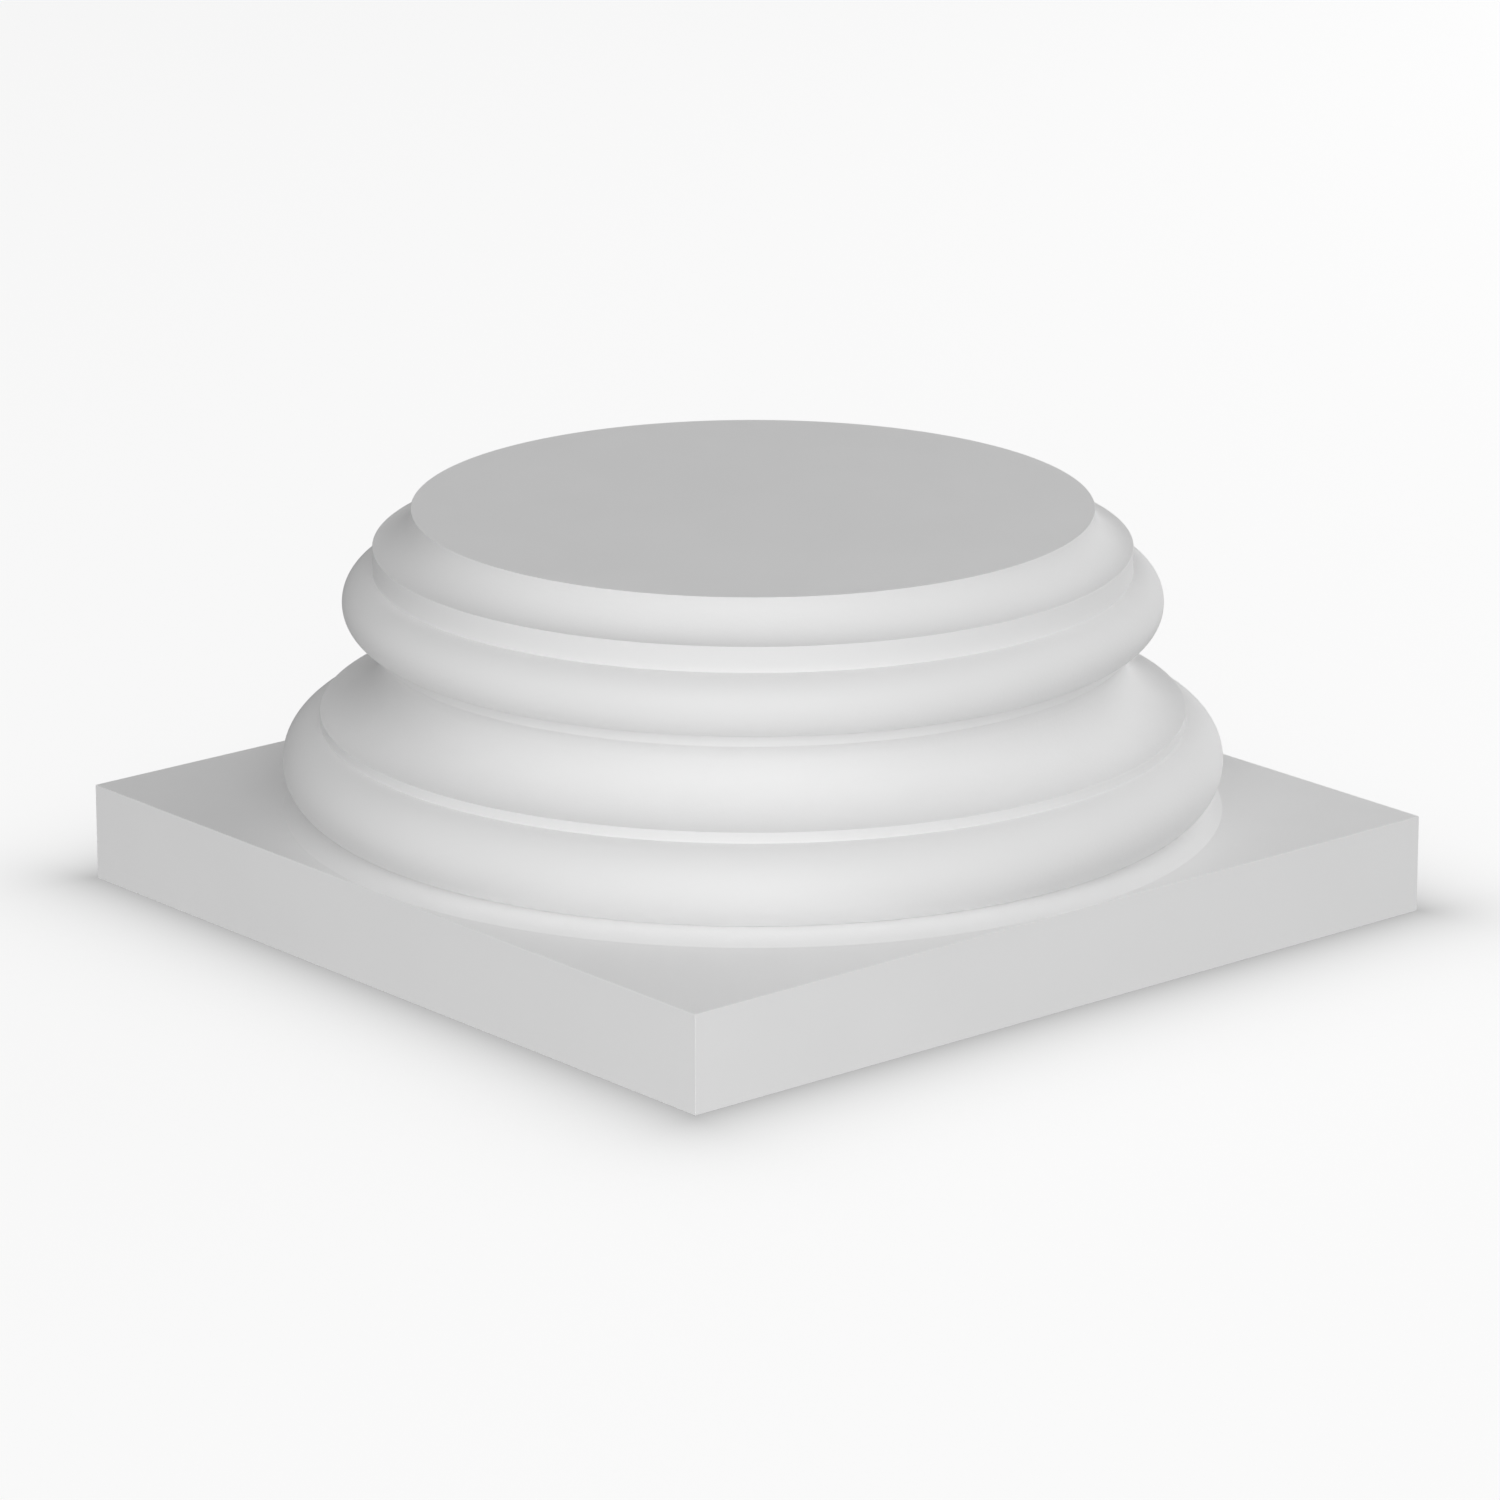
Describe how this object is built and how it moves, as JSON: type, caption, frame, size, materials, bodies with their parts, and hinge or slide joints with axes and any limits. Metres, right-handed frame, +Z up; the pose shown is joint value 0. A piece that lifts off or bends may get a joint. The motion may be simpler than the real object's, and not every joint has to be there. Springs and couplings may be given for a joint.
{
  "type": "column base",
  "caption": "Base of a classical round column: square plinth, large lower round, hollow between flat bands, smaller upper round, collar and a flat round seat for the shaft.",
  "frame": {"origin": "centre of the plinth's underside", "axes": "+Z up along the column's axis, +X and +Y square to the plinth's sides"},
  "size_m": [0.4166, 0.4166, 0.1794],
  "materials": {
    "white_primer": "smooth moulded rigid foam under matt white primer, ready for painting"
  },
  "bodies": {
    "root": {"column_base": "white_primer"}
  },
  "joints": []
}
